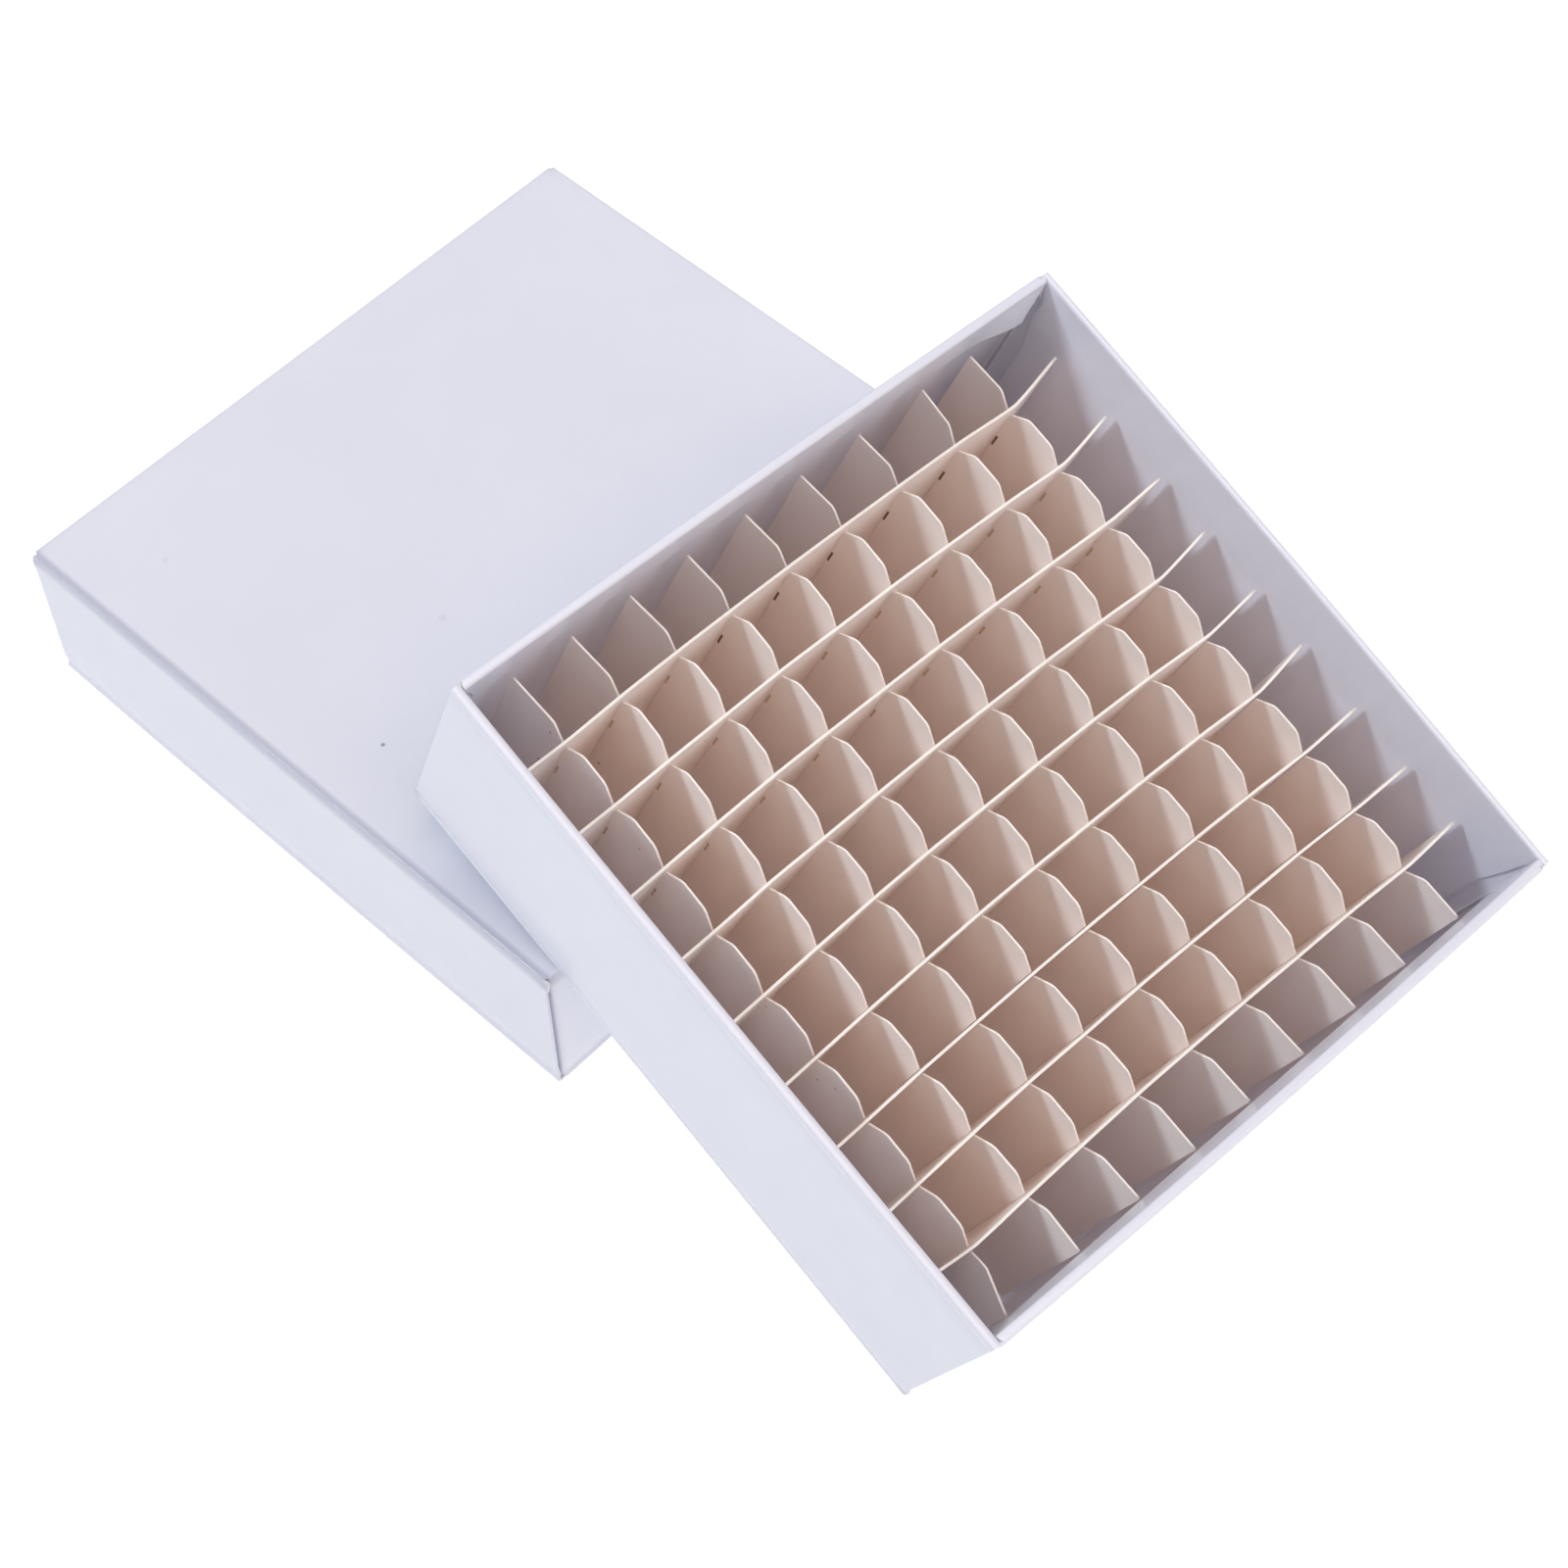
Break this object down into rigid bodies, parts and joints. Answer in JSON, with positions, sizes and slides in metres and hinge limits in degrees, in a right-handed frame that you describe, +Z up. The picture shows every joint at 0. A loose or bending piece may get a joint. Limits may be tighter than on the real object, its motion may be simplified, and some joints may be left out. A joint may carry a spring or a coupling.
{
  "type": "cryogenic storage box",
  "caption": "Square freezer box of folded white board: a lift-off lid, and an open tray leaning on it, with a divider of interlocked slotted strips that makes cells for vials.",
  "frame": {"origin": "on the surface that the lid and the tray stand on, under the middle of the whole arrangement", "axes": "+Z up; +Y along the arrangement, from the leaning tray towards the lid lying flat; +X to the right, along the lid edge that the tray leans on"},
  "size_m": [0.1398, 0.2463, 0.0953],
  "materials": {
    "coated_board": "smooth white coating with a soft satin sheen",
    "divider_board": "uncoated off-white board with paler cut edges"
  },
  "bodies": {
    "lid": {"lid": "coated_board"},
    "tray": {"tray": "coated_board"},
    "upright_strips": {"strip_b_1": "divider_board", "strip_b_2": "divider_board", "strip_b_3": "divider_board", "strip_b_4": "divider_board", "strip_b_5": "divider_board", "strip_b_6": "divider_board", "strip_b_7": "divider_board", "strip_b_8": "divider_board", "strip_b_9": "divider_board"},
    "cross_strips": {"strip_a_1": "divider_board", "strip_a_2": "divider_board", "strip_a_3": "divider_board", "strip_a_4": "divider_board", "strip_a_5": "divider_board", "strip_a_6": "divider_board", "strip_a_7": "divider_board", "strip_a_8": "divider_board", "strip_a_9": "divider_board"}
  },
  "joints": [
    {"name": "tray_lift", "type": "slide", "parent": "lid", "child": "tray", "axis": [0, 0, 1], "range_m": [0, 0.06]},
    {"name": "divider_lift", "type": "slide", "parent": "tray", "child": "upright_strips", "axis": [0, -0.3469, 0.9379], "range_m": [0, 0.055]},
    {"name": "cross_strips_lift", "type": "slide", "parent": "upright_strips", "child": "cross_strips", "axis": [0, -0.3469, 0.9379], "range_m": [0, 0.045]}
  ]
}
